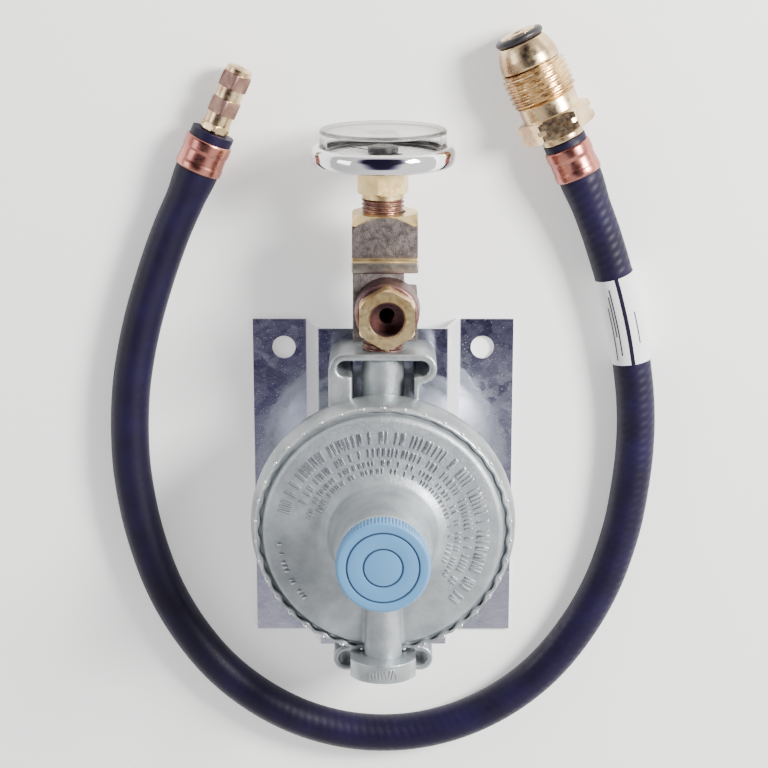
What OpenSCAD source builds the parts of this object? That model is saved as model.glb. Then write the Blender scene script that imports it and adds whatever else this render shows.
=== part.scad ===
// Low-pressure propane regulator kit: bracket-mounted regulator with inlet tee and
// pressure gauge, and a loose pigtail hose with crimped end fittings.
// Frame: the origin is midway between the two bracket holes on the bracket's back plane,
// +Z points away from the back plane, and +Y runs from the regulator to the gauge.

/* [Bracket] */
// Width of the bracket across its side flanges
bracket_w = 90; // [86:1:100]
// Length of the bracket
bracket_l = 114; // [112:1:120]
// Sheet thickness
bracket_t = 1.5; // [1.2:0.1:2]
// Height of the raised centre over the back plane
bracket_rise = 16; // [16:0.5:20]
// Distance between the two mounting holes
hole_spacing = 68.6; // [66:0.2:72]
// Diameter of the mounting holes
hole_d = 8; // [6:0.5:9]

/* [Regulator] */
// Distance from the mounting holes down to the regulator's axis
axis_drop = 52; // [51:0.5:53]
// Outer radius of the crimped rim
rim_r = 44.4; // [43.8:0.1:46]
// Radius of the adjuster cap
cap_r = 15.2; // [15:0.1:17]
// Number of full turns that the adjuster cap needs to come off
cap_turns = 2.5; // [1.5:0.5:2.5]

/* [Gauge] */
// Outer radius of the gauge's bezel
gauge_r = 23.6; // [22.5:0.1:25]
// Outer radius of the clear lens
lens_r = 20.7; // [19:0.1:21]

/* [Hose] */
// Outer radius of the hose
hose_r = 6.6; // [6.3:0.1:6.8]
// Bore radius of the hose
hose_bore_r = 3.2; // [3:0.1:3.5]
// Outer radius of the crimped ferrules
ferrule_r = 8; // [7.8:0.1:8.4]
// Length of the crimped ferrules
ferrule_l = 10.8; // [10:0.2:12]

/* [Hidden] */
$fn = 64;

axis_y = -axis_drop;
port_z = bracket_rise + 12;          // axis of the inlet, the tee, the gauge and the outlet
zinc = [0.66, 0.68, 0.68];
brass = [0.80, 0.64, 0.36];
copper = [0.75, 0.45, 0.36];
rubber = [0.10, 0.08, 0.16];
steel = [0.62, 0.63, 0.68];

// Bracket
screw_x = 15;
screw_y = 22;
flange_in = 26.5;                    // foot of the slanted wall
rise_half = 22;                      // edge of the raised centre
bracket_top = 10;                    // upper edge, over the line of holes

// Regulator body, radii and heights
body_z = bracket_rise;
floor_z = body_z + 4;
rim_z = 36;
ledge_z = 37;
flange_z = 37.8;
lip_z = 44.7;
rim_top = 46;
cavity_r = 34;
seat_r = 42.2;                       // recess that takes the diaphragm and bonnet
lip_r = 41;
neck_r = 7.3;
tee_low = 10.9;                      // lower end of the tee, clear of the casting
lobe_x = 12.7;                       // lobes at the ends of the slot across each port arm
lobe_r = 2.6;
slot_half = 10.3;
outlet_r = 8.3;                      // tapped outlet
outlet_boss_r = 10.6;
outlet_end = -109;

// Bonnet and tower
tower_top = 74.7;
neck_top = 79.6;
thread_r = 13.2;
tower_bore_r = 11.4;
vent_z = 47;
vent_r = 12;
vent_half = 10.9;                    // flat sides of the vent boss
vent_bore_r = 6.5;
vent_end = -101.1;
cap_bottom = 75;
cap_top = 81.6;
cap_pitch = 2;

// Valve train
pivot_y = -34;
pivot_z = 22.5;
lever_arm = pivot_y - axis_y;
valve_arm = port_z - pivot_z;

// Tee and gauge, along +Y
tee_half = 10.7;
tee_top = 52.2;
tee_x = 0.6;
branch_x = 1.3;
branch_y = 21.8;
branch_z = port_z + tee_half;
branch_top = 54.5;
branch_bore_r = 5.4;
npt_r = 6.85;
stem_hex_y = 58.5;
case_y = 67.5;
lens_y = 79.5;

// End fittings: place of the ferrule's outer end, and turn about Z from +Y
pol_at = [61, 71.5, 11.1];
pol_turn = 24.6;
male_at = [-57.8, 72.9, 8];
male_turn = -24;
pol_hex = 22.2;                      // across flats
pol_thread_r = 11.1;
male_hex = 9.6;                      // across flats

// Route of the hose's centreline, from the cylinder end to the other end, and its radius there
route = [
  [60.1, 73.5, 11.1], [61.3, 70.9, 11.1], [65.8, 61.1, 11], [69.6, 51.6, 10.2],
  [73.8, 40.7, 8.9], [78.3, 27, 7.7], [81, 17.5, 7.2], [83.5, 7, 6.9],
  [85.6, -5, 6.8], [87.2, -18, 6.6], [87.6, -31, 6.6], [86.6, -46, 6.6],
  [83.6, -65, 6.6], [77.4, -85, 6.6], [68.6, -102, 6.6], [57.2, -117, 6.6],
  [43.2, -128.8, 6.6], [27, -137.2, 6.6], [9.3, -141.6, 6.6], [-9.3, -141.6, 6.6],
  [-27, -137.2, 6.6], [-43.2, -128.8, 6.6], [-57.4, -117, 6.6], [-69, -102, 6.6],
  [-77.8, -85, 6.6], [-84, -65, 6.6], [-87.2, -46, 6.6], [-87.9, -31, 6.6],
  [-87.2, -16, 6.6], [-85.3, -3, 6.6], [-82.1, 11, 6.6], [-77.5, 26, 6.7],
  [-72, 41, 7], [-66.6, 53, 7.6], [-62.2, 63, 8], [-58.1, 72.2, 8], [-56.6, 75.6, 8]
];
label_from = 5;                      // the label covers the hose between these route points
label_to = 8;

// Sweep of a wall round a path: a full tube, or an open wrap from angle a0 to a1
function unit(v) = v / norm(v);
function tangent(p, i) = unit(p[min(i + 1, len(p) - 1)] - p[max(i - 1, 0)]);
function ring_point(p, i, r, a) =
  let (t = tangent(p, i), side = unit(cross(t, [0, 0, 1])), up = cross(side, t))
  p[i] + r * (cos(a) * side + sin(a) * up);
function quad(a, b, c, d) = [[a, b, c], [a, c, d]];

module wall_along(path, r_out, r_in, sides, a0 = 0, a1 = 360) {
  closed = a1 - a0 >= 360;
  n = closed ? sides : sides + 1;
  rings = len(path);
  inner = rings * n;
  outer_points = [for (i = [0:rings - 1], j = [0:n - 1])
    ring_point(path, i, r_out[i], a0 + (a1 - a0) * j / sides)];
  inner_points = [for (i = [0:rings - 1], j = [0:n - 1])
    ring_point(path, i, r_in[i], a0 + (a1 - a0) * j / sides)];
  walls = [for (i = [0:rings - 2], j = [0:sides - 1])
    let (k = (j + 1) % n, a = i * n + j, b = i * n + k, c = a + n, d = b + n)
    each concat(quad(a, b, d, c), quad(inner + a, inner + c, inner + d, inner + b))];
  ends = [for (j = [0:sides - 1]) let (k = (j + 1) % n, z = (rings - 1) * n)
    each concat(quad(j, inner + j, inner + k, k),
      quad(z + j, z + k, inner + z + k, inner + z + j))];
  edges = closed ? [] : [for (i = [0:rings - 2]) let (a = i * n, b = a + n, c = a + n - 1, d = c + n)
    each concat(quad(a, b, inner + b, inner + a), quad(c, inner + c, inner + d, d))];
  polyhedron(concat(outer_points, inner_points), concat(walls, ends, edges));
}

// Wire wound as a helix round Z
module coil(r, wire_r, turns, height, steps = 14, sides = 8) {
  rings = turns * steps;
  points = [for (i = [0:rings], j = [0:sides - 1])
    let (a = 360 * i / steps, b = 360 * j / sides, q = r + wire_r * cos(b))
    [q * cos(a), q * sin(a), height * i / rings + wire_r * sin(b)]];
  skin = [for (i = [0:rings - 1], j = [0:sides - 1])
    let (k = (j + 1) % sides, a = i * sides + j, b = i * sides + k)
    each quad(a, a + sides, b + sides, b)];
  caps = [[for (j = [0:sides - 1]) j], [for (j = [sides - 1:-1:0]) rings * sides + j]];
  polyhedron(points, concat(skin, caps));
}

// Local Z becomes +Y at the height of the ports
module along_y(y = 0, z = port_z) translate([0, y, z]) rotate([-90, 0, 0]) children();
module at_axis() translate([0, axis_y, 0]) children();
module hex_bar(flats, h) cylinder(r = flats / sqrt(3), h = h, $fn = 6);
module at_fitting(place, turn) translate(place) rotate([-90, 0, turn]) children();
module tube(r_out, r_in, h) difference() {
  cylinder(r = r_out, h = h);
  translate([0, 0, -1]) cylinder(r = r_in, h = h + 2);
}

module bracket() color(steel) difference() {
  translate([0, bracket_top, 0]) rotate([90, 0, 0]) linear_extrude(bracket_l) polygon([
    [-bracket_w / 2, 0], [-flange_in + 1, 0], [-rise_half + 1, bracket_rise - bracket_t],
    [rise_half - 1, bracket_rise - bracket_t], [flange_in - 1, 0], [bracket_w / 2, 0],
    [bracket_w / 2, bracket_t], [flange_in, bracket_t], [rise_half, bracket_rise],
    [-rise_half, bracket_rise], [-flange_in, bracket_t], [-bracket_w / 2, bracket_t]]);
  for (x = [-1, 1])
    translate([x * hole_spacing / 2, 0, -1]) cylinder(d = hole_d, h = bracket_t + 2);
  for (x = [-1, 1], y = [-1, 1])
    translate([x * screw_x, axis_y + y * screw_y, 10]) cylinder(r = 2.2, h = 10);
}

module bracket_screws() color(steel)
  for (x = [-1, 1], y = [-1, 1])
    translate([x * screw_x, axis_y + y * screw_y, 0]) difference() {
      union() {
        translate([0, 0, bracket_rise - bracket_t - 2.4]) cylinder(r = 3.8, h = 2.4);
        translate([0, 0, bracket_rise - bracket_t - 0.1]) cylinder(r = 1.95, h = 4.6);
      }
      translate([0, 0, bracket_rise - bracket_t - 3]) cylinder(r = 1.8, h = 2, $fn = 6);
    }

// Frame with a lobed slot, and the two legs that join it to the body
module port_frame(slot_y, wall, inner, left, right, h)
  translate([0, 0, body_z]) linear_extrude(h) difference() {
    union() {
      for (x = [-1, 1]) translate([x * lobe_x, slot_y]) circle(r = lobe_r + wall);
      translate([-lobe_x, slot_y - lobe_r - wall]) square([2 * lobe_x, 2 * (lobe_r + wall)]);
      translate([-left, min(slot_y, inner)]) square([left + right, abs(slot_y - inner)]);
    }
    for (x = [-1, 1]) translate([x * lobe_x, slot_y]) circle(r = lobe_r);
    translate([-lobe_x, slot_y - lobe_r]) square([2 * lobe_x, 2 * lobe_r]);
    translate([-slot_half, min(slot_y, inner)]) square([2 * slot_half, abs(slot_y - inner)]);
  }

module lower_body() color(zinc) difference() {
  union() {
    at_axis() rotate_extrude() polygon([
      [0, body_z], [29, body_z], [33, body_z + 2], [38.5, rim_z - 7.3], [41.5, rim_z - 2],
      [rim_r, rim_z], [rim_r, rim_z + 2.4], [rim_r - 0.7, rim_z + 6],
      [rim_r - 1.7, rim_z + 9.2], [rim_r - 2.6, rim_top], [lip_r, rim_top],
      [lip_r, lip_z], [seat_r, lip_z], [seat_r, ledge_z], [cavity_r, ledge_z],
      [cavity_r, floor_z + 3], [cavity_r - 3, floor_z], [0, floor_z]]);
    port_frame(1.3, 2.5, -14, 18.2, 11.9, 20.5);
    port_frame(-103.2, 1.8, -90, 11.9, 11.9, 15);
    along_y(-24) cylinder(r = neck_r, h = 30.4);
    along_y(outlet_end) cylinder(r = outlet_boss_r, h = 15.5);
    along_y(-98) cylinder(r = neck_r + 0.9, h = 14);
    for (x = [-1, 1])                // lugs of the lever's pin
      translate([x * 4.5 - 1, pivot_y - 2.5, floor_z - 1]) cube([2, 5, 6]);
  }
  along_y(-3) cylinder(r = npt_r, h = 20);
  along_y(-30) cylinder(r = 4, h = 30);
  along_y(outlet_end - 1) cylinder(r = outlet_r, h = 14);
  along_y(outlet_end) cylinder(r = 4.5, h = 30);
  translate([-10, pivot_y, pivot_z]) rotate([0, 90, 0]) cylinder(r = 1.05, h = 20);
  for (x = [-1, 1], y = [-1, 1])
    translate([x * screw_x, axis_y + y * screw_y, body_z - 1]) cylinder(r = 2, h = 4.4);
}

module diaphragm() color(rubber) at_axis() rotate_extrude() polygon([
  [1.6, ledge_z - 0.7], [22, ledge_z - 0.7], [25, ledge_z + 0.6], [29, ledge_z + 0.6],
  [32, ledge_z + 0.05], [seat_r - 0.1, ledge_z + 0.05], [seat_r - 0.1, ledge_z + 0.75],
  [32.5, ledge_z + 0.75], [29.5, ledge_z + 1.4], [24.5, ledge_z + 1.4],
  [21.5, ledge_z + 0.1], [1.6, ledge_z + 0.1]]);

module bonnet() color(zinc) difference() {
  union() {
    at_axis() rotate_extrude() polygon([
      [33, flange_z], [seat_r - 0.1, flange_z], [seat_r - 0.1, lip_z - 0.05],
      [40.2, lip_z - 0.05], [40, 46.4], [38.8, 47.5], [34, 48], [21, 49.6], [17.8, 51.6],
      [16.2, 56], [15, tower_top], [thread_r, tower_top], [thread_r, neck_top],
      [tower_bore_r, neck_top], [tower_bore_r, 54], [20, 46.4], [30, 45], [33, 43.4]]);
    difference() {
      union() {
        intersection() {
          along_y(vent_end, vent_z) cylinder(r = vent_r, h = 6.4);
          translate([-vent_half, vent_end - 1, 30]) cube([2 * vent_half, 10, 40]);
        }
        along_y(vent_end + 1, vent_z) cylinder(r = 6.3, h = 36);
      }
      at_axis() translate([0, 0, 30]) cylinder(r = 12.5, h = 50);
      translate([-20, vent_end - 1, 30]) cube([40, 80, 9]);
      at_axis() translate([0, 0, 30]) difference() {
        cylinder(r = rim_r + 0.3, h = rim_top - 29.6);
        translate([0, 0, -1]) cylinder(r = lip_r - 0.4, h = 20);
      }
      at_axis() translate([0, 0, 30]) cylinder(r = 36, h = 16);
    }
  }
  along_y(vent_end - 1, vent_z) cylinder(r = vent_bore_r, h = 5);
  along_y(vent_end, vent_z + 3) cylinder(r = 2.4, h = 42);
}

module vent_screen() color(steel) along_y(vent_end + 2.9, vent_z) {
  tube(vent_bore_r - 0.05, 5.6, 0.9);
  intersection() {
    cylinder(r = 6, h = 0.9);
    for (i = [-2:2]) {
      translate([-7, i * 2 - 0.2, 0.2]) cube([14, 0.4, 0.5]);
      translate([i * 2 - 0.2, -7, 0.2]) cube([0.4, 14, 0.5]);
    }
  }
}

// Adjustment: the screw presses the spring's upper seat, and the cap covers it
seat_z = 61;
module spring_seat() color(steel) at_axis() translate([0, 0, seat_z]) difference() {
  union() {
    cylinder(r = tower_bore_r - 0.6, h = 1.6);
    translate([0, 0, -3]) cylinder(r = 6.6, h = 3.5);
  }
  translate([0, 0, -4]) cylinder(r = 4, h = 3.6);
}

module adjusting_screw() color([0.85, 0.85, 0.82]) at_axis() translate([0, 0, seat_z + 1.65])
  difference() {
    cylinder(r = tower_bore_r - 0.08, h = 7);
    translate([0, 0, 2]) hex_bar(9.5, 6);
  }

module main_spring() color(steel) at_axis() translate([0, 0, 39.8]) coil(8.4, 0.8, 7, 20.3);

module cap_seal() color(rubber) at_axis() translate([0, 0, neck_top + 0.02])
  tube(thread_r - 0.1, tower_bore_r + 0.2, 0.6);

module adjuster_cap() color([0.48, 0.66, 0.80]) at_axis() difference() {
  rotate_extrude() polygon([
    [0, neck_top + 0.65], [thread_r + 0.08, neck_top + 0.65], [thread_r + 0.08, cap_bottom],
    [cap_r, cap_bottom], [cap_r, cap_top - 1], [cap_r - 1, cap_top], [0, cap_top]]);
  for (r = [6.3, 11.5]) translate([0, 0, cap_top - 0.25]) difference() {
    cylinder(r = r + 0.12, h = 1);
    translate([0, 0, -1]) cylinder(r = r - 0.12, h = 3);
  }
}

// Diaphragm assembly
module diaphragm_plate() color(steel) at_axis() difference() {
  union() {
    translate([0, 0, ledge_z + 0.15]) cylinder(r = 21, h = 0.8);
    translate([0, 0, ledge_z + 0.5]) tube(7, 6, 2.6);
  }
  translate([0, 0, ledge_z - 1]) cylinder(r = 1.6, h = 4);
}

module diaphragm_post() color(brass) at_axis() difference() {
  union() {
    translate([0, 0, 25.5]) cylinder(r = 3.4, h = 9);
    translate([0, 0, 34.4]) cylinder(r = 5, h = 1.8);
    translate([0, 0, 36]) cylinder(r = 1.5, h = 13);
  }
  translate([-5, -2.8, 27.4]) cube([10, 8, 3.2]);
}

module relief_spring() color(steel) at_axis() translate([0, 0, 38.75]) coil(3, 0.35, 5, 5.6, 12);

module relief_nut() color(brass) at_axis() translate([0, 0, 44.8]) difference() {
  hex_bar(8, 2.4);
  translate([0, 0, -1]) cylinder(r = 1.55, h = 5);
}

// Lever: long arm to the post, short arm up into the valve holder
module lever() color(steel) difference() {
  union() {
    translate([-3.3, pivot_y, pivot_z]) rotate([0, 90, 0]) cylinder(r = 2, h = 6.6);
    translate([-2.5, pivot_y - 12, pivot_z - 0.6]) cube([5, 12, 1.2]);
    translate([-2.5, pivot_y - 13.2, pivot_z - 0.6]) cube([5, 1.2, 7]);
    translate([-2.5, axis_y - 2.4, 28.2]) cube([5, lever_arm - 9.8, 1.2]);
    translate([-1.2, pivot_y - 0.6, pivot_z]) cube([2.4, 1.2, valve_arm + 0.5]);
  }
  translate([-5, pivot_y, pivot_z]) rotate([0, 90, 0]) cylinder(r = 1.1, h = 10);
}

module lever_pin() color(steel)
  translate([-6, pivot_y, pivot_z]) rotate([0, 90, 0]) cylinder(r = 1, h = 12);

module inlet_nozzle() color(brass) along_y(-26.8) difference() {
  union() {
    translate([0, 0, 1.4]) cylinder(r = 3.9, h = 9);
    cylinder(r1 = 2.2, r2 = 3.2, h = 1.6);
  }
  translate([0, 0, -1]) cylinder(r = 1.3, h = 14);
}

module valve_holder() color(brass) along_y(-39) difference() {
  union() {
    translate([0, 0, 2]) cylinder(r = 3.4, h = 8);
    translate([0, 0, 9]) tube(4.6, 3.4, 2.2);
    translate([0, 0, 9]) cylinder(r = 4.6, h = 1);
  }
  translate([-1.6, -2, 4]) cube([3.2, 8, 2.2]);
}

module seat_disc() color(rubber) along_y(-28.95) cylinder(r = 3.35, h = 1.75);

// Brass tee: block for the gauge, waist, and forged six-sided branch to the front
module tee_body() color(brass) difference() {
  union() {
    translate([tee_x, 0, port_z - tee_half]) {
      translate([-tee_half, 34.2, 0]) cube([2 * tee_half, tee_top - 34.2, 2 * tee_half]);
      translate([-tee_half - 0.2, 34.2, 0]) cube([2 * tee_half + 0.4, 4.8, 2 * tee_half + 0.5]);
      translate([-tee_half, tee_low, 0]) cube([2 * tee_half - 4.5, 24, 2 * tee_half]);
      translate([-tee_half, tee_low, 0]) cube([2 * tee_half, 15, 2 * tee_half]);
    }
    translate([branch_x, branch_y, branch_z - 0.5]) cylinder(r = 10.4, h = 9.2);
    translate([branch_x, branch_y, branch_z + 4]) rotate([0, 0, 30])
      hex_bar(17.8, branch_top - branch_z - 4);
    along_y(-2.9) cylinder(r = npt_r - 0.03, h = tee_low + 4);
  }
  along_y(tee_top - 12) cylinder(r = npt_r, h = 20);
  along_y(-4) cylinder(r = 3, h = 50);
  translate([branch_x, branch_y, branch_top]) {
    translate([0, 0, -7]) cylinder(r = branch_bore_r, h = 12);
    translate([0, 0, -9]) cylinder(r1 = 2.6, r2 = 4.4, h = 2.1);
    translate([0, 0, -0.6]) cylinder(r1 = branch_bore_r, r2 = branch_bore_r + 0.65, h = 0.65);
  }
  translate([branch_x, branch_y, port_z]) cylinder(r = 2.4, h = 40);
}

module gauge_stem() color(brass) difference() {
  union() {
    along_y(tee_top - 10) cylinder(r = npt_r - 0.03, h = stem_hex_y - tee_top + 12);
    along_y(stem_hex_y) rotate([0, 0, 19.6]) hex_bar(15, case_y - stem_hex_y - 0.05);
    along_y(case_y - 1) cylinder(r = 4, h = 2.4);
  }
  along_y(tee_top - 11) cylinder(r = 1.8, h = 26);
}

module gauge_case() color(steel) along_y(case_y) difference() {
  rotate_extrude() polygon([
    [4.05, 0], [gauge_r - 3, 0], [gauge_r - 1.2, 0.9], [gauge_r - 0.9, 4.2],
    [gauge_r - 1.7, 4.2], [gauge_r - 2, 1.4], [gauge_r - 3.2, 0.8], [4.05, 0.8]]);
}

module gauge_bezel() color([0.78, 0.78, 0.80]) along_y(case_y) rotate_extrude() polygon([
  [gauge_r - 1, 0.1], [gauge_r - 0.4, 0.6], [gauge_r, 1.9], [gauge_r, 4.3],
  [gauge_r - 0.5, 5.8], [gauge_r - 1.4, 6.5], [lens_r + 0.1, 6.5], [lens_r + 0.1, 5.4],
  [gauge_r - 1.4, 5.4], [gauge_r - 0.8, 4.5], [gauge_r - 0.8, 1.6]]);

module gauge_dial() color([0.95, 0.95, 0.93]) along_y(case_y + 3.2) tube(gauge_r - 2.4, 1.2, 0.5);

module lens_gasket() color(rubber) along_y(case_y + 4.25) tube(gauge_r - 0.95, lens_r - 2.6, 0.4);

module gauge_lens() color([0.9, 0.93, 0.95, 0.3]) along_y(case_y + 4.7) rotate_extrude() polygon([
  [gauge_r - 1.6, 0], [gauge_r - 1.6, 0.65], [lens_r, 0.65], [lens_r, lens_y - case_y - 5.3],
  [lens_r - 0.6, lens_y - case_y - 4.7], [0, lens_y - case_y - 4.7], [0, lens_y - case_y - 5.9],
  [lens_r - 1.4, lens_y - case_y - 5.9], [lens_r - 1.4, 0]]);

module bourdon_coil() color(brass) along_y(case_y + 1.2)
  linear_extrude(1.9) polygon(concat(
    [for (i = [0:48]) spiral(i, 0.35)], [for (i = [48:-1:0]) spiral(i, -0.35)]));
function spiral(i, half) = let (a = i * 20, r = 4.6 + i * 0.2 + half) [r * cos(a), r * sin(a)];

module gauge_pointer() color([0.1, 0.1, 0.1]) along_y(case_y + 4.1) {
  tube(5, 0.75, 2.4);
  rotate([0, 0, 135]) linear_extrude(0.4)
    polygon([[4, -0.9], [15.5, -0.15], [15.5, 0.15], [4, 0.9]]);
  rotate([0, 0, 135]) translate([-8, -0.9, 0]) cube([4, 1.8, 0.4]);
}

module gauge_spindle() color(brass) along_y(case_y + 1.5) cylinder(r = 0.75, h = 4.6);

// Hose assembly
module hose() color(rubber) wall_along(route,
  [for (i = [0:len(route) - 1]) i == 0 ? hose_r + 0.5 : i == len(route) - 1 ? hose_r + 1 : hose_r],
  [for (p = route) hose_bore_r], 12);

label_path = [for (i = [label_from:label_to]) route[i]];
module hose_label() color([0.96, 0.96, 0.94]) wall_along(label_path,
  [for (p = label_path) hose_r + 0.17], [for (p = label_path) hose_r + 0.02], 11, 90, 420);

module ferrule() color(copper) translate([0, 0, -ferrule_l]) difference() {
  cylinder(r = ferrule_r, h = ferrule_l);
  translate([0, 0, -1]) cylinder(r = hose_r + 0.4, h = ferrule_l + 2);
}
module inlet_end_ferrule() at_fitting(pol_at, pol_turn) ferrule();
module outlet_end_ferrule() at_fitting(male_at, male_turn) ferrule();

// Barbed shank that sits in the hose bore, below the local origin
module shank(r, length) translate([0, 0, -length]) cylinder(r = r, h = length);

module cylinder_nipple() color(brass) at_fitting(pol_at, pol_turn) difference() {
  union() {
    shank(hose_bore_r - 0.05, 10);
    cylinder(r = hose_bore_r - 0.05, h = 3);
    translate([0, 0, 2.2]) cylinder(r = 7.3, h = 2.3);
    translate([0, 0, 4]) cylinder(r = 4.6, h = 26);
    translate([0, 0, 29.4]) cylinder(r1 = 10.2, r2 = 9.6, h = 3.4);
    translate([0, 0, 32.7]) cylinder(r1 = 9.6, r2 = 7.7, h = 5.3);
    translate([0, 0, 37.9]) cylinder(r = 6.2, h = 3.3);
  }
  translate([0, 0, -12]) cylinder(r = 2.6, h = 56);
}

module nipple_o_ring() color(rubber) at_fitting(pol_at, pol_turn) translate([0, 0, 39.35])
  rotate_extrude() translate([7.25, 0]) circle(r = 1.1, $fn = 32);

module cylinder_nut() color(brass) at_fitting(pol_at, pol_turn) difference() {
  union() {
    translate([0, 0, 4.7]) hex_bar(pol_hex, 7.3);
    translate([0, 0, 11.9]) cylinder(r = 9.9, h = 5.9);
    translate([0, 0, 17.7]) cylinder(r = pol_thread_r, h = 11.4);
  }
  translate([0, 0, 4]) cylinder(r = 4.7, h = 30);
  translate([0, 0, 7.7]) difference() {
    cylinder(r = 20, h = 1.4);
    translate([0, 0, -1]) cylinder(r = 12.1, h = 4);
  }
}

module male_fitting() color(brass) at_fitting(male_at, male_turn) difference() {
  union() {
    shank(hose_bore_r - 0.05, 10);
    cylinder(r = hose_bore_r - 0.05, h = 5);
    translate([0, 0, 3.6]) rotate([0, 0, 30]) hex_bar(male_hex, 2.2);
    translate([0, 0, 5]) cylinder(r = 4.5, h = 20);
    translate([0, 0, 9.7]) rotate([0, 0, 30]) hex_bar(male_hex, 5.2);
    translate([0, 0, 18.9]) rotate([0, 0, 30]) hex_bar(male_hex, 5.1);
    translate([0, 0, 24.9]) cylinder(r1 = 4.5, r2 = 3.9, h = 1.4);
  }
  translate([0, 0, -12]) cylinder(r = 2.1, h = 52);
}

bracket();
bracket_screws();
lower_body();
diaphragm();
bonnet();
vent_screen();
spring_seat();
adjusting_screw();
cap_seal();
adjuster_cap();
main_spring();
diaphragm_plate();
diaphragm_post();
relief_spring();
relief_nut();
lever();
lever_pin();
inlet_nozzle();
valve_holder();
seat_disc();
tee_body();
gauge_stem();
gauge_case();
gauge_bezel();
gauge_dial();
gauge_lens();
lens_gasket();
bourdon_coil();
gauge_pointer();
gauge_spindle();
hose();
hose_label();
inlet_end_ferrule();
outlet_end_ferrule();
cylinder_nut();
cylinder_nipple();
nipple_o_ring();
male_fitting();
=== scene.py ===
import math
import random

import bmesh
import bpy
from mathutils import Matrix, Vector


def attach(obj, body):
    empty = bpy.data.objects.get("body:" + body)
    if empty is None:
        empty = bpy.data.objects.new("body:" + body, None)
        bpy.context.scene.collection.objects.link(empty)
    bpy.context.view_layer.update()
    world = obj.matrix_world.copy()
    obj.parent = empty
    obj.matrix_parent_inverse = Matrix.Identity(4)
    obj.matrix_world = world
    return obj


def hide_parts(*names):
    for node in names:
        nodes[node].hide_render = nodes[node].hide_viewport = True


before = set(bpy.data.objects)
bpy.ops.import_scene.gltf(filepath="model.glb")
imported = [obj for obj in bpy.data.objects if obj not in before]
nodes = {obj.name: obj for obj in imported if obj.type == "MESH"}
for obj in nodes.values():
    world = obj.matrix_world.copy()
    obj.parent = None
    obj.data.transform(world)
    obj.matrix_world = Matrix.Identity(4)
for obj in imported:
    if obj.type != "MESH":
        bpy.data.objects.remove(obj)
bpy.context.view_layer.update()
random.seed(11)

# Camera
view = {"lens": 97.97, "sensor": 36, "at": (0.0003, 0.1748, 0.7032), "tilt": -15}
cameraData = bpy.data.cameras.new("camera")
cameraData.lens = view["lens"]
cameraData.sensor_width = view["sensor"]
camera = bpy.data.objects.new("camera", cameraData)
camera.location = view["at"]
camera.rotation_euler = (math.radians(view["tilt"]), 0, 0)
bpy.context.scene.collection.objects.link(camera)
bpy.context.scene.camera = camera


# Shader maths
class Wire:
    def __init__(self, finish, socket):
        self.finish = finish
        self.socket = socket

    def __add__(self, other):
        return self.finish.maths("ADD", self, other)

    def __sub__(self, other):
        return self.finish.maths("SUBTRACT", self, other)

    def __mul__(self, other):
        return self.finish.maths("MULTIPLY", self, other)

    def __rsub__(self, other):
        return self.finish.maths("SUBTRACT", other, self)

    __radd__ = __add__
    __rmul__ = __mul__


class Finish:
    def __init__(self, name):
        self.material = bpy.data.materials.new(name)
        self.material.use_nodes = True
        self.tree = self.material.node_tree
        self.main = self.tree.nodes["Principled BSDF"]

    def put(self, socket, value):
        if isinstance(value, Wire):
            self.tree.links.new(value.socket, socket)
        elif isinstance(value, tuple) and len(value) == 3 and socket.type == "RGBA":
            socket.default_value = (*value, 1)
        else:
            socket.default_value = value

    def node(self, kind, inputs, out=0, **settings):
        made = self.tree.nodes.new(kind)
        for key, value in settings.items():
            setattr(made, key, value)
        for key, value in inputs.items():
            self.put(made.inputs[key], value)
        return Wire(self, made.outputs[out])

    def maths(self, kind, *values):
        return self.node("ShaderNodeMath", dict(enumerate(values)), operation=kind)

    def place(self, kind="Object"):
        return self.node("ShaderNodeTexCoord", {}, kind)

    def part(self, vector, axis):
        return self.node("ShaderNodeSeparateXYZ", {0: vector}, axis)

    def noise(self, scale, detail):
        return self.node(
            "ShaderNodeTexNoise",
            {"Vector": self.place(), "Scale": scale, "Detail": detail, "Roughness": 0.55},
        )

    def cells(self, scale, out):
        return self.node("ShaderNodeTexVoronoi", {"Vector": self.place(), "Scale": scale}, out)

    def span(self, value, low, high, start=0, end=1):
        return self.node("ShaderNodeMapRange", {0: value, 1: low, 2: high, 3: start, 4: end})

    def mix(self, factor, first, second):
        return self.node("ShaderNodeMix", {0: factor, 6: first, 7: second}, 2, data_type="RGBA")

    def bump(self, height, distance):
        return self.node("ShaderNodeBump", {"Height": height, "Distance": distance, "Strength": 1})

    def done(self, **inputs):
        for key, value in inputs.items():
            self.put(self.main.inputs[key.replace("_", " ")], value)
        return self.material


def metal(name, dark, bright, rough, spread, grain, depth, metallic=1.0, cloud=90):
    f = Finish(name)
    clouds = f.span(f.noise(cloud, 5), 0.35, 0.66)
    fine = f.noise(grain, 3)
    return f.done(
        Base_Color=f.mix(clouds, dark, bright),
        Roughness=f.span(fine, 0.3, 0.7, rough, rough + spread),
        Metallic=metallic,
        Normal=f.bump(fine, depth),
    )


def plain(name, colour, rough, grain=900, depth=0.00003, shade=0.8):
    f = Finish(name)
    fine = f.noise(grain, 3)
    dark = tuple(c * shade for c in colour)
    return f.done(
        Base_Color=f.mix(f.noise(140, 3), dark, colour),
        Roughness=f.span(fine, 0.3, 0.7, rough - 0.05, rough + 0.08),
        Normal=f.bump(fine, depth),
    )


# Edges of the bracket's slanted walls, in metres from its middle, where a painted reflection goes
slope = {"top": (0.0216, 0.0222), "foot": (0.0263, 0.0269)}


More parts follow.
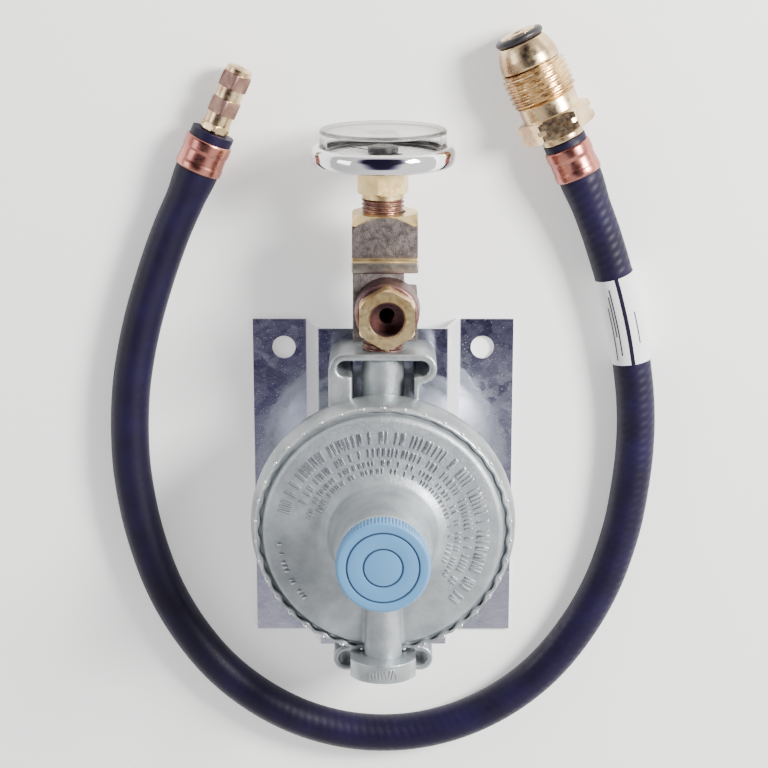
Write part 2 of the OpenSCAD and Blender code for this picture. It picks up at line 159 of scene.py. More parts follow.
def galvanised():
    f = Finish("galvanised")
    spangle = f.part(f.cells(300, "Color"), 0)
    spots = f.span(f.noise(1700, 2), 0.66, 0.74)
    drift = f.span(f.noise(30, 4), 0.42, 0.72)
    base = f.mix(spangle, (0.42, 0.42, 0.53), (0.52, 0.52, 0.63))
    base = f.mix(drift, base, (0.62, 0.63, 0.72))
    # Near-white, barely metallic colour on the slanted walls: a painted reflection of the bright
    # surroundings
    across = f.maths("ABSOLUTE", f.part(f.place(), 0))
    wall = f.span(across, *slope["top"]) * f.span(across, *slope["foot"], 1, 0)
    return f.done(
        Base_Color=f.mix(wall, f.mix(spots, base, (0.7, 0.7, 0.78)), (0.96, 0.96, 0.97)),
        Roughness=f.span(spangle, 0, 1, 0.1, 0.2) + spots * 0.2 + drift * 0.06,
        Metallic=f.span(wall, 0, 1, 1, 0.25),
        Normal=f.bump(f.noise(45, 4), 0.0002),
    )


def hoseCover():
    f = Finish("hose_cover")
    uv = f.place("UV")
    along, around = f.part(uv, 0), f.part(uv, 1)
    ribs = f.maths("SINE", (along * 330 + around * 4) * math.tau)
    ribbed = f.span(along, 0.0, 0.34, 1, 0.1)
    grain = f.noise(1400, 3)
    scuff = f.span(f.noise(70, 4), 0.4, 0.75)
    return f.done(
        Base_Color=f.mix(scuff, (0.0045, 0.0022, 0.016), (0.009, 0.0045, 0.034)),
        Roughness=f.span(grain, 0.3, 0.7, 0.42, 0.55),
        Specular_IOR_Level=0.25,
        Normal=f.bump(ribs * ribbed + grain * 0.5, 0.00007),
    )


def clearPlastic(name, tint, least, most):
    f = Finish(name)
    f.done(Base_Color=(0.85, 0.85, 0.86), Roughness=0.03, IOR=1.3, Transmission_Weight=1.0)
    see = f.node("ShaderNodeBsdfTransparent", {"Color": tint})
    turnedAway = f.node("ShaderNodeLayerWeight", {"Blend": 0.5}, 1)
    share = f.span(turnedAway, 0.55, 0.97, least, most)
    both = f.node("ShaderNodeMixShader", {0: share, 1: see, 2: Wire(f, f.main.outputs[0])})
    out = next(n for n in f.tree.nodes if n.type == "OUTPUT_MATERIAL")
    f.put(out.inputs["Surface"], both)
    return f.material


brass = metal("brass", (0.42, 0.26, 0.15), (0.93, 0.72, 0.42), 0.18, 0.14, 700, 0.00002)
# Darker brass: painted shade on the fitting's collars and the pipe threads
brassShaded = metal("brass_shaded", (0.1, 0.05, 0.055), (0.42, 0.26, 0.2), 0.3, 0.2, 900, 0.00006)
brassDark = metal("brass_dark", (0.09, 0.045, 0.055), (0.26, 0.15, 0.13), 0.34, 0.2, 900,
                  0.00005)
brassRough = metal("brass_rough", (0.1, 0.085, 0.085), (0.22, 0.19, 0.18), 0.5, 0.2, 2600, 0.00025,
                   cloud=500)
brassPale = metal("brass_pale", (0.7, 0.49, 0.22), (0.98, 0.78, 0.4), 0.27, 0.14, 700, 0.00002)
brassStep = metal("brass_step", (0.3, 0.26, 0.22), (0.46, 0.42, 0.36), 0.3, 0.15, 700, 0.00002)
copper = metal("copper", (0.3, 0.1, 0.09), (0.7, 0.29, 0.22), 0.2, 0.12, 500, 0.00002, cloud=60)
zinc = metal("zinc", (0.3, 0.33, 0.35), (0.44, 0.47, 0.49), 0.4, 0.16, 1100, 0.0001, 0.7, 110)
zincPale = metal("zinc_pale", (0.34, 0.37, 0.385), (0.52, 0.55, 0.56), 0.32, 0.16, 1100, 0.0001,
                 0.8)
# Near-white zinc: a painted highlight on the rim stakes
zincGlint = metal("zinc_glint", (0.7, 0.72, 0.73), (0.9, 0.92, 0.93), 0.2, 0.1, 900, 0.00003,
                   0.9)
chrome = metal("chrome", (0.78, 0.77, 0.8), (0.88, 0.87, 0.88), 0.06, 0.05, 300, 0.00001, cloud=30)
steel = metal("steel", (0.35, 0.35, 0.37), (0.58, 0.58, 0.6), 0.24, 0.14, 800, 0.00002)
blue = plain("blue_plastic", (0.095, 0.265, 0.49), 0.42, shade=0.93)
# Dark blue: painted shade in the cap's engraved grooves
blueGrooveShade = plain("blue_groove_shade", (0.02, 0.04, 0.09), 0.5)
white = plain("white_plastic", (0.8, 0.8, 0.78), 0.5)
face = plain("white_face", (0.86, 0.86, 0.84), 0.45)
# Lighter, shinier zinc: a painted highlight on the raised dashes and boss marks
zincMarkGlint = metal("zinc_mark_glint", (0.44, 0.47, 0.49), (0.66, 0.69, 0.71), 0.2, 0.12, 900, 0.00004,
                 0.9)
black = plain("black_paint", (0.02, 0.018, 0.022), 0.4)
rubber = plain("black_rubber", (0.014, 0.012, 0.016), 0.4, depth=0.00005)
paper = plain("paper", (0.86, 0.86, 0.87), 0.4)
sheetMetal = galvanised()
hoseMaterial = hoseCover()
clear = clearPlastic("clear_plastic", (0.98, 0.98, 0.975), 0.07, 0.8)
# Greyer tint for the lens rim: painted shade along its edge
clearEdge = clearPlastic("clear_edge", (0.5, 0.49, 0.48), 0.5, 0.95)
print("materials")


# Mesh helpers, in millimetres
def turned(x, y, z, turn=0, tip=0):
    spot = Matrix.Translation((x, y, z)) @ Matrix.Rotation(math.radians(turn), 4, "Z")
    return spot @ Matrix.Rotation(math.radians(tip), 4, "X")


portHeight = 28
regulatorAxis = turned(0, -52, 0)
branchAxis = turned(1.3, 21.8, 0)
cylinderEnd = turned(61, 71.5, 11.1, 24.6, -90)
otherEnd = turned(-57.8, 72.9, 8, -24, -90)


def alongY(y, z=portHeight, x=0):
    return turned(x, y, z, 0, -90)


gaugeAxis = alongY(67.5)


def soften(points, radius=0.3, cuts=3, closed=False):
    ring = [Vector(p) for p in points]
    count = len(ring)
    made = []
    for i in range(count):
        if not closed and i in (0, count - 1):
            made.append(tuple(ring[i]))
            continue
        before, here, after = ring[i - 1], ring[i], ring[(i + 1) % count]
        reach = min(radius, (before - here).length * 0.45, (after - here).length * 0.45)
        a = here + (before - here).normalized() * reach
        b = here + (after - here).normalized() * reach
        for k in range(cuts + 1):
            t = k / cuts
            made.append(tuple(a * (1 - t) ** 2 + here * 2 * t * (1 - t) + b * t * t))
    return made


def lathe(bm, profile, steps=96, closed=False, shape=None):
    old = set(bm.verts)
    verts = [bm.verts.new((r, 0, z)) for r, z in profile]
    pairs = list(zip(verts, verts[1:])) + ([(verts[-1], verts[0])] if closed else [])
    edges = [bm.edges.new(pair) for pair in pairs]
    bmesh.ops.spin(
        bm, geom=verts + edges, axis=(0, 0, 1), cent=(0, 0, 0), angle=math.tau,
        steps=steps, use_merge=True,
    )
    fresh = [v for v in bm.verts if v not in old]
    if shape:
        for v in fresh:
            r, a = math.hypot(v.co.x, v.co.y), math.atan2(v.co.y, v.co.x)
            if r > 1e-6:
                wide, z = shape(r, a, v.co.z)
                v.co = (wide * math.cos(a), wide * math.sin(a), z)
    bmesh.ops.remove_doubles(bm, verts=fresh, dist=0.0004)
    return bm


def box(bm, low, high, bevel=0.3, segments=2):
    middle = [(a + b) / 2 for a, b in zip(low, high)]
    size = [b - a for a, b in zip(low, high)]
    matrix = Matrix.Translation(middle) @ Matrix.Diagonal((*size, 1))
    verts = bmesh.ops.create_cube(bm, size=1, matrix=matrix)["verts"]
    edges = {e for v in verts for e in v.link_edges}
    if bevel:
        bmesh.ops.bevel(
            bm, geom=list(edges), offset=bevel, segments=segments, profile=0.5,
            affect="EDGES", material=-1,
        )
    return bm


def hexRadius(apothem, angle, turn=0):
    return apothem / math.cos((angle - turn) % (math.pi / 3) - math.pi / 6)


def thread(radius, depth, pitch, z, angle, hand=1):
    t = (z / pitch + hand * angle / math.tau) % 1
    return radius - depth * min(1, max(0, abs(2 * t - 1) * 1.5 - 0.25))


def moved(bm, matrix):
    bmesh.ops.transform(bm, matrix=matrix, verts=bm.verts)
    return bm


def baked(bm, *changes):
    mesh = bpy.data.meshes.new("part")
    bm.to_mesh(mesh)
    bm.free()
    obj = bpy.data.objects.new("part", mesh)
    bpy.context.scene.collection.objects.link(obj)
    for kind, settings in changes:
        modifier = obj.modifiers.new(kind, kind)
        for key, value in settings.items():
            setattr(modifier, key, value)
    bpy.context.view_layer.update()
    made = bmesh.new()
    made.from_object(obj, bpy.context.evaluated_depsgraph_get())
    bpy.data.objects.remove(obj)
    bpy.data.meshes.remove(mesh)
    return made


def carved(bm, cutter):
    mesh = bpy.data.meshes.new("cutter")
    bmesh.ops.recalc_face_normals(cutter, faces=cutter.faces)
    cutter.to_mesh(mesh)
    cutter.free()
    tool = bpy.data.objects.new("cutter", mesh)
    bpy.context.scene.collection.objects.link(tool)
    bmesh.ops.recalc_face_normals(bm, faces=bm.faces)
    made = baked(
        bm, ("BOOLEAN", {"operation": "DIFFERENCE", "object": tool, "solver": "EXACT",
                         "use_self": True}),
    )
    bpy.data.objects.remove(tool)
    bpy.data.meshes.remove(mesh)
    return made


def fused(bm, voxel, rounds):
    bmesh.ops.recalc_face_normals(bm, faces=bm.faces)
    return baked(
        bm, ("REMESH", {"mode": "VOXEL", "voxel_size": voxel}),
        ("SMOOTH", {"factor": 0.5, "iterations": rounds}),
    )


def joined(first, *others):
    for other in others:
        mesh = bpy.data.meshes.new("part")
        other.to_mesh(mesh)
        other.free()
        first.from_mesh(mesh)
        bpy.data.meshes.remove(mesh)
    return first


def addPiece(name, bm, matrix, body, material, stands=(), sharp=34):
    bmesh.ops.recalc_face_normals(bm, faces=bm.faces)
    for one in bm.faces:
        one.smooth = True
    for edge in bm.edges:
        if len(edge.link_faces) == 2 and edge.calc_face_angle() > math.radians(sharp):
            edge.smooth = False
    bm.transform(Matrix.Scale(0.001, 4) @ matrix)
    mesh = bpy.data.meshes.new(name)
    bm.to_mesh(mesh)
    bm.free()
    mesh.materials.append(material)
    obj = bpy.data.objects.new(name, mesh)
    bpy.context.scene.collection.objects.link(obj)
    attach(obj, body)
    if stands:
        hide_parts(*stands)
    return obj


# Hose, as a swept tube with a bulge into each ferrule
hose = {"radius": 6.6, "sides": 36, "cuts": 7, "bulge": 0.75, "ends": 14, "taper": 26}
hoseRoute = [
    (60.1, 73.5, 11.1), (61.3, 70.9, 11.1), (65.8, 61.1, 11), (69.6, 51.6, 10.2),
    (73.8, 40.7, 8.9), (78.3, 27, 7.7), (81, 17.5, 7.2), (83.5, 7, 6.9),
    (85.6, -5, 6.8), (87.2, -18, 6.6), (87.6, -31, 6.6), (86.6, -46, 6.6),
    (83.6, -65, 6.6), (77.4, -85, 6.6), (68.6, -102, 6.6), (57.2, -117, 6.6),
    (43.2, -128.8, 6.6), (27, -137.2, 6.6), (9.3, -141.6, 6.6), (-9.3, -141.6, 6.6),
    (-27, -137.2, 6.6), (-43.2, -128.8, 6.6), (-57.4, -117, 6.6), (-69, -102, 6.6),
    (-77.8, -85, 6.6), (-84, -65, 6.6), (-87.2, -46, 6.6), (-87.9, -31, 6.6),
    (-87.2, -16, 6.6), (-85.3, -3, 6.6), (-82.1, 11, 6.6), (-77.5, 26, 6.7),
    (-72, 41, 7), (-66.6, 53, 7.6), (-62.2, 63, 8), (-58.1, 72.2, 8), (-56.6, 75.6, 8),
]


def flowing(points, cuts):
    line = [Vector(p) for p in points]
    line = [line[0] * 2 - line[1], *line, line[-1] * 2 - line[-2]]
    made = []
    for p, a, b, q in zip(line, line[1:], line[2:], line[3:]):
        for k in range(cuts):
            t = k / cuts
            made.append(
                (a * 2 + (b - p) * t + (p * 2 - a * 5 + b * 4 - q) * t * t
                 + (a * 3 - b * 3 + q - p) * t ** 3) / 2
            )
    return made + [line[-2]]


def swept(bm, path, radius, sides, start=0.0, end=math.tau):
    uv = bm.loops.layers.uv.verify()
    rows = len(path) - 1
    gone = [0]
    for here, ahead in zip(path, path[1:]):
        gone.append(gone[-1] + (ahead - here).length)
    verts = bmesh.ops.create_grid(bm, x_segments=rows, y_segments=sides, size=1)["verts"]
    cell = {v: (round((v.co.x + 1) * rows / 2), round((v.co.y + 1) * sides / 2)) for v in verts}
    for one in {f for v in verts for f in v.link_faces}:
        for loop in one.loops:
            i, k = cell[loop.vert]
            loop[uv].uv = (gone[i] * 0.001, k / sides)
    for v, (i, k) in cell.items():
        ahead = (path[min(i + 1, rows)] - path[max(i - 1, 0)]).normalized()
        side = ahead.cross(Vector((0, 0, 1))).normalized()
        angle = start + (end - start) * k / sides
        spoke = side * math.cos(angle) + side.cross(ahead) * math.sin(angle)
        v.co = path[i] + spoke * radius(gone[i])
    bmesh.ops.remove_doubles(bm, verts=verts, dist=0.001)


def hoseRadius(gone, total):
    near = min(gone, total - gone)
    lift = 1 if near < hose["ends"] else max(0, 1 - (near - hose["ends"]) / 12)
    return hose["radius"] + hose["bulge"] * lift * lift * (3 - 2 * lift)


hosePath = flowing(hoseRoute, hose["cuts"])
hoseLength = sum((b - a).length for a, b in zip(hosePath, hosePath[1:]))
hoseMesh = bmesh.new()
swept(hoseMesh, hosePath, lambda gone: hoseRadius(gone, hoseLength), hose["sides"])
bmesh.ops.holes_fill(hoseMesh, edges=hoseMesh.edges, sides=0)
hosePiece = addPiece(
    "hose_cover", hoseMesh, Matrix(), "pigtail", hoseMaterial, ["hose"]
)
print("hose", round(hoseLength))

# Crimped ferrules
ferrule = {"inner": 6.9, "outer": 8.0, "length": 10.8}
for name, matrix, node in (
    ("ferrule_cylinder_end", cylinderEnd, "inlet_end_ferrule"),
    ("ferrule_other_end", otherEnd, "outlet_end_ferrule"),
):
    bm = bmesh.new()
    inner, outer, low = ferrule["inner"], ferrule["outer"], -ferrule["length"]
    outline = [
        (inner, low), (outer - 0.15, low), (outer, low + 0.8), (outer, low + 2.2),
        (outer - 0.22, low + 3), (outer - 0.3, -4.4), (outer, -3.4), (outer, -0.6),
        (outer - 0.3, 0), (inner, 0),
    ]
    lathe(bm, soften(outline, 0.35, 3, True), 96, True)
    addPiece(name, bm, matrix, "pigtail", copper, [node])

# Cylinder nut: hex with a marking groove, relief, left-hand thread
nut = {"flats": 11.1, "hex": (5, 12), "groove": (7.8, 9.2), "thread": (17.7, 29.0), "pitch": 1.81}


def nutShape(r, a, z):
    if r < 9:
        return r, z
    low, high = nut["hex"]
    if z <= high + 0.01 and r > 11.5:
        limit = 11.75 + 1.6 * max(0, min(z - low, high - z))
        if nut["groove"][0] - 0.01 <= z <= nut["groove"][1] + 0.01:
            limit = 12.0
        return min(hexRadius(nut["flats"], a), limit), z
    if nut["thread"][0] <= z <= nut["thread"][1]:
        ends = min(1, (z - nut["thread"][0]) / 0.9, (nut["thread"][1] - z) / 1.2)
        return thread(11.15, 1.05, nut["pitch"], z, a, -1) - 0.7 * (1 - ends), z
    return r, z


low, high = nut["hex"]
outline = [(4.7, low), (10.5, low)]
outline += [(13, low + 0.02), (13, low + 0.35), (13, low + 0.7)]
outline += [(13, nut["groove"][0] - 0.1), (13, nut["groove"][0]), (13, nut["groove"][1])]
outline += [(13, nut["groove"][1] + 0.1), (13, high - 0.7), (13, high - 0.35), (13, high)]
outline += [(10.2, high + 0.05), (9.95, high + 0.4), (9.9, 16.9), (10.3, 17.4)]
rows = 84
outline += [
    (11, nut["thread"][0] + (nut["thread"][1] - nut["thread"][0]) * i / rows)
    for i in range(rows + 1)
]
outline += [(9.6, 29.2), (4.7, 29.2)]
bm = lathe(bmesh.new(), outline, 144, True, nutShape)
nutPiece = addPiece(
    "cylinder_nut_turned", bm, cylinderEnd, "nut", brass, ["cylinder_nut"], 26
)

# Nipple with a bullet nose, and its O-ring
outline = [
    (2.6, -8), (3.1, -8), (3.1, 2), (6.6, 2.2), (7.3, 2.5), (7.3, 4.3), (6.8, 4.7), (4.6, 4.8),
    (4.6, 29.3), (9.9, 29.4), (10.1, 30.2), (9.7, 33), (8.9, 35.6), (8.1, 37.4), (7.6, 38),
    (6.2, 38.1), (5.9, 38.9), (6.2, 40.2), (6.1, 40.9), (5.3, 41.2), (3, 41.1), (2.6, 40.4),
]
bm = lathe(bmesh.new(), soften(outline, 0.4, 3, True), 96, True)
nipplePiece = addPiece(
    "nipple_turned", bm, cylinderEnd, "pigtail", brass, ["cylinder_nipple"]
)
bm = bmesh.new()
ringProfile = [(6.9 + 1.35 * math.cos(a), 39.3 + 1.25 * math.sin(a))
               for a in (math.tau * k / 20 for k in range(20))]
lathe(bm, ringProfile, 96, True)
ringPiece = addPiece(
    "o_ring", bm, cylinderEnd, "pigtail", rubber, ["nipple_o_ring"]
)

# Small male fitting: three hex collars between turned grooves, the upper two in darker brass for
# painted shade
collars = [(3.6, 5.8), (9.7, 14.9), (18.9, 24.0)]


def collarShape(r, a, z):
    for low, high in collars:
        if low - 0.02 <= z <= high + 0.02 and r > 5:
            limit = 5.1 + 1.1 * max(0, min(z - low, high - z))
            return min(hexRadius(4.85, a, math.radians(30)), limit), z
    return r, z


outline = [(2.1, -8), (3.1, -8), (3.1, 3.4)]
for low, high in collars:
    outline += [(4.45, low - 0.15), (5.9, low), (5.9, low + 0.35), (5.9, high - 0.35), (5.9, high)]
    outline += [(4.45, high + 0.15)]
outline += [(4.5, 24.6), (4.5, 25.7), (3.9, 26.3), (2.6, 26.3), (2.1, 25.7)]
bm = lathe(bmesh.new(), outline, 96, True, collarShape)
malePiece = addPiece(
    "male_fitting_turned", bm, otherEnd, "pigtail", brass, ["male_fitting"], 26
)
# Collars beyond the first take the darker brass: painted shade
for one in malePiece.data.polygons:
    spot = otherEnd.inverted() @ (Vector(one.center) * 1000)
    if math.hypot(spot.x, spot.y) > 4.7 and spot.z > 8:
        one.material_index = 1
malePiece.data.materials.append(brassShaded)

# Label wrapped on the hose, with generic marks
label = {"from": 0.050, "to": 0.0825, "radius": 6.78, "turn": (96, 444), "markWidth": 4}
labelPath, gone = [], 0
for i, point in enumerate(hosePath):
    gone += (point - hosePath[i - 1]).length * 0.001 if i else 0
    if label["from"] <= gone <= label["to"]:
        labelPath.append(point)
bm = bmesh.new()
swept(bm, labelPath, lambda gone: label["radius"], 44, *map(math.radians, label["turn"]))
labelPiece = addPiece("label_wrap", bm, Matrix(), "pigtail", paper, ["hose_label"])
marks = bmesh.new()
for angle, start, end in ((60, 0.1, 0.9), (52, 0.2, 0.72), (42, 0.35, 0.95), (118, 0.45, 0.8)):
    count = len(labelPath) - 1
    some = labelPath[int(start * count): int(end * count) + 1]
    swept(marks, some, lambda gone: label["radius"] + 0.04, 2, math.radians(angle),
          math.radians(angle + label["markWidth"]))
marksPiece = addPiece("label_marks", marks, Matrix(), "pigtail", black)

[tuple(p * 0.001) for p in hosePath]
print("pigtail")

# Bonnet: dome, tower and vent arm cast as one
vent = {"arm": 6.3, "reach": 26, "front": -101.1, "height": 47, "radius": 12, "flat": 10.9,
        "marks": 9, "markStep": 5.2}
outline = [
    (33, 38), (42, 38), (42, 44.6), (40.3, 44.6), (40, 46.5), (38.9, 47.5), (34, 48),
    (27, 48.8), (21.4, 49.8), (18.4, 51.6), (16.8, 55.5), (15.9, 62), (15.1, 74.6),
    (13.2, 74.7), (13.2, 79.6), (11.4, 79.6), (11.4, 54), (20, 46.4), (30, 45), (33, 43.4),
]
bm = lathe(bmesh.new(), soften(outline, 0.8, 3, True), 180, True)
outline = [(0, 0), (vent["arm"], 0), (vent["arm"], vent["reach"]), (0, vent["reach"])]
arm = lathe(bmesh.new(), outline, 64)
moved(arm, alongY(-95.4, vent["height"]))
cut = lathe(bmesh.new(), [(0, 30), (12.4, 30), (12.4, 90), (0, 90)], 64)
moved(cut, regulatorAxis)
solid = carved(arm, cut)
cut = lathe(bmesh.new(), [(39, 30), (44.9, 30), (44.9, 46.3), (39, 46.3)], 120, True)
solid = carved(solid, moved(cut, regulatorAxis))
whole = fused(joined(moved(bm, regulatorAxis), solid), 0.5, 2)
addPiece("bonnet_casting", whole, Matrix(), "regulator", zinc, ["bonnet"], 60)

# Vent boss, flat-sided and crisp, with the screened opening facing away
outline = [
    (6.5, 0), (vent["radius"], 0), (vent["radius"], 6.4), (3, 6.4), (3, 4), (6.5, 4),
]
boss = lathe(bmesh.new(), soften(outline, 0.35, 3, True), 128, True)
moved(boss, alongY(vent["front"], vent["height"]))
for low, high in ((-20, -vent["flat"]), (vent["flat"], 20)):
    cut = box(bmesh.new(), (low, -110, 30), (high, -90, 70), 0)
    boss = carved(boss, cut)
cut = lathe(bmesh.new(), [(30, 20), (44.8, 20), (44.8, 46.2), (30, 46.2)], 160, True)
boss = carved(boss, moved(cut, regulatorAxis))
addPiece("vent_boss", boss, Matrix(), "regulator", zincPale)
tabs = bmesh.new()
for k in range(vent["marks"]):
    lean = math.radians(vent["markStep"] * (k - vent["marks"] // 2))
    matrix = turned(0, -97.9, vent["height"]) @ Matrix.Rotation(lean, 4, "Y")
    matrix = matrix @ Matrix.Translation((0, 0, vent["radius"])) @ Matrix.Rotation(
        math.radians(random.choice((-14, 0, 14))), 4, "Z"
    ) @ Matrix.Diagonal((0.5, 3.4, 0.7, 1))
    bmesh.ops.create_cube(tabs, size=1, matrix=matrix)
# The boss marks take the lighter zinc: a painted highlight
addPiece("boss_marks", tabs, Matrix(), "regulator", zincMarkGlint)

# Raised generic dashes in rings on the dome, in lighter zinc for a painted highlight
domeLine = [(40, 46.5), (38.9, 47.5), (34, 48), (27, 48.8), (21.4, 49.8), (18.4, 51.6)]


def domeHeight(r):
    for (a, za), (b, zb) in zip(domeLine, domeLine[1:]):
        if b <= r <= a:
            return zb + (za - zb) * (r - b) / (a - b)
    return domeLine[-1][1]


# Each ring: radius, height of a dash, first and last angle, widths to draw from
dashRings = [
    (33.2, 4.1, -44, 168, (0.65, 0.65, 0.65, 1.3)), (28.4, 2.7, -36, 158, (0.5, 0.5, 0.9)),
    (24.9, 1.8, -34, 166, (0.45, 0.45, 0.8)), (22.3, 1.7, -24, 160, (0.45, 0.45, 0.8)),
    (34.6, 1.5, 186, 222, (0.5, 0.5, 0.9)),
]
dash = {"lean": 7, "depth": 1.1, "bevel": 0.13, "gaps": (0.7, 0.9, 1.2, 2.6)}
dashes = bmesh.new()
for radius, tall, begin, finish, widths in dashRings:
    angle = begin
    while angle < finish:
        wide = random.choice(widths)
        matrix = Matrix.Rotation(math.radians(angle), 4, "Z") @ Matrix.Translation(
            (radius, 0, domeHeight(radius))
        ) @ Matrix.Rotation(math.radians(dash["lean"]), 4, "Y") @ Matrix.Diagonal(
            (tall, wide, dash["depth"], 1)
        )
        verts = bmesh.ops.create_cube(dashes, size=1, matrix=matrix)["verts"]
        bmesh.ops.bevel(
            dashes, geom=list({e for v in verts for e in v.link_edges}), offset=dash["bevel"],
            segments=2, profile=0.5, affect="EDGES", material=-1,
        )
        angle += math.degrees((wide + random.choice(dash["gaps"])) / radius)
addPiece("bonnet_marks", dashes, regulatorAxis, "regulator", zincMarkGlint)

# Crimped rim with stake marks and a wavy inner lip
rim = {"stakes": 38, "stakeAt": (42.5, 0, 45.6), "lip": 41.75}


def rimShape(r, a, z):
    wave = 0.5 + 0.5 * math.cos(rim["stakes"] * a)
    if r < rim["lip"] and z > 43.5:
        return r + (0.2 + 0.5 * (1 - math.sin(a))) * wave - 0.1, z
    return r, z


outline = [
    (41.2, 33.6), (43.4, 34.8), (44.4, 36.2), (44.4, 38.4), (43.7, 42), (42.8, 45),
    (42.1, 45.9), (41.4, 46.1), (41, 45.5), (41, 44.6), (41.6, 43.4), (41.6, 40),
]
bm = lathe(bmesh.new(), soften(outline, 0.35, 2, True), rim["stakes"] * 12, True, rimShape)
addPiece("crimped_rim", bm, regulatorAxis, "regulator", zincPale)
stakes = bmesh.new()
for k in range(rim["stakes"]):
    matrix = Matrix.Rotation(math.tau * (k + 0.5) / rim["stakes"], 4, "Z") @ Matrix.Translation(
        rim["stakeAt"]
    ) @ Matrix.Diagonal((0.5, random.uniform(0.6, 1.2), 0.55, 1))
    bmesh.ops.create_icosphere(stakes, subdivisions=2, radius=1, matrix=matrix)
# Each stake is near-white zinc: a painted highlight
addPiece("rim_stakes", stakes, regulatorAxis, "regulator", zincGlint)
# A black ring in the gap under the crimped lip: painted shade in the gap
bm = lathe(bmesh.new(), [(40, 43.2), (42, 43.2), (42, 44.2), (40, 44.2)], 180, True)
addPiece("rim_gap_shade", bm, regulatorAxis, "regulator", rubber)

# Lower casting: bowl, lobed pads at both ports, necks and outlet boss
outline = [
    (0, 16), (29, 16), (32.5, 17.6), (38.5, 28.7), (41.3, 34), (43.4, 36.4), (43.2, 38.4),
    (42.2, 38.4), (42.2, 37), (34, 37), (34, 23), (31, 20), (0, 20),
]
bowl = lathe(bmesh.new(), soften(outline, 0.6, 2), 160)
moved(bowl, regulatorAxis)
lobe = {"x": 12.7, "radius": 2.6, "gap": 10.3, "foot": 16}
pads = []
for slotY, wall, inner, left, right, top in (
    (1.3, 2.5, -14, 18.1, 11.9, 36.9), (-103.2, 1.8, -90, 11.9, 11.9, 31.4),
):
    parts = []
    foot, lobeX, slotR = lobe["foot"], lobe["x"], lobe["radius"]
    outer = slotR + wall
    for x in (-lobeX, lobeX):
        end = lathe(bmesh.new(), [(0, foot), (outer, foot), (outer, top), (0, top)], 64)
        parts.append(moved(end, turned(x, slotY, 0)))
    bar = box(
        bmesh.new(), (-lobeX, slotY - slotR - wall, foot), (lobeX, slotY + slotR + wall, top), 0
    )
    legs = box(bmesh.new(), (-left, min(slotY, inner), foot), (right, max(slotY, inner), top), 0)
    for part in [*parts, bar, legs]:
        cut = box(bmesh.new(), (-lobeX, slotY - slotR, 12), (lobeX, slotY + slotR, 45), 0)
        part = carved(part, cut)
        for x in (-lobeX, lobeX):
            cut = lathe(bmesh.new(), [(0, 12), (slotR, 12), (slotR, 45), (0, 45)], 48)
            part = carved(part, moved(cut, turned(x, slotY, 0)))
        cut = bmesh.new()
        gap = lobe["gap"]
        box(cut, (-gap, min(slotY, inner) - 0.01, 12), (gap, max(slotY, inner), 45), 0)
        pads.append(carved(part, cut))
pieces = []
for low, high, outer, inner in (
    (-20, 6.2, 7.0, 4), (-109, -92, 10.6, 8.3), (-98, -84, 8.2, 4.5),
):
    bm = lathe(bmesh.new(), [(inner, low), (outer, low), (outer, high), (inner, high)], 72, True)
    pieces.append(moved(bm, alongY(0)))
whole = fused(joined(bowl, *pads, *pieces), 0.6, 2)
outline = [(0, -110), (8.3, -110), (8.3, -96), (4.5, -95), (4.5, -80), (0, -80)]
cut = lathe(bmesh.new(), outline, 64)
whole = carved(whole, moved(cut, alongY(0)))
addPiece("lower_casting", whole, Matrix(), "regulator", zincPale, ["lower_body"], 60)
print("castings")

# Adjuster cap with fine knurling and two engraved rings
cap = {"knurls": 84, "knurlDepth": 0.14, "rings": (11.55, 6.25), "ringWidth": 0.48}


def capShape(r, a, z):
    if r > 14.9 and 75.4 < z < 80.9:
        return r + cap["knurlDepth"] * math.cos(cap["knurls"] * a), z
    return r, z


outline = [
    (0, 80.3), (13.28, 80.3), (13.28, 75), (14.95, 75), (15.05, 75.4), (15.05, 75.7),
    (15.05, 78), (15.05, 80.6), (14.95, 81), (14.5, 81.5), (14, 81.6), (11.9, 81.6),
    (11.75, 81.1), (11.35, 81.1), (11.2, 81.6), (6.6, 81.6), (6.45, 81.1), (6.05, 81.1),
    (5.9, 81.6), (0, 81.6),
]
bm = lathe(bmesh.new(), soften(outline, 0.12, 2), cap["knurls"] * 6, False, capShape)
addPiece("cap_moulding", bm, regulatorAxis, "cap", blue, ["adjuster_cap"])

# Dark rings laid in the two engraved grooves: painted shade
rings = bmesh.new()
for middle in cap["rings"]:
    low, high = middle - cap["ringWidth"] / 2, middle + cap["ringWidth"] / 2
    lathe(rings, [(low, 81), (high, 81), (high, 81.35), (low, 81.35)], 96, True)
addPiece("cap_rings", rings, regulatorAxis, "cap", blueGrooveShade)

# Threaded neck under the cap
neck = {"radius": 13.19, "depth": 0.6, "pitch": 2, "from": 74.9, "length": 4.5, "rows": 30}
outline = [
    (13.1, neck["from"] + neck["length"] * i / neck["rows"]) for i in range(neck["rows"] + 1)
]
bm = lathe(bmesh.new(), [(11.45, 74.9), *outline, (11.45, 79.4)], 96, True, lambda r, a, z: (
    thread(neck["radius"], neck["depth"], neck["pitch"], z, a) if r > 13 else r, z
))
addPiece("neck_thread", bm, regulatorAxis, "regulator", zinc, sharp=50)

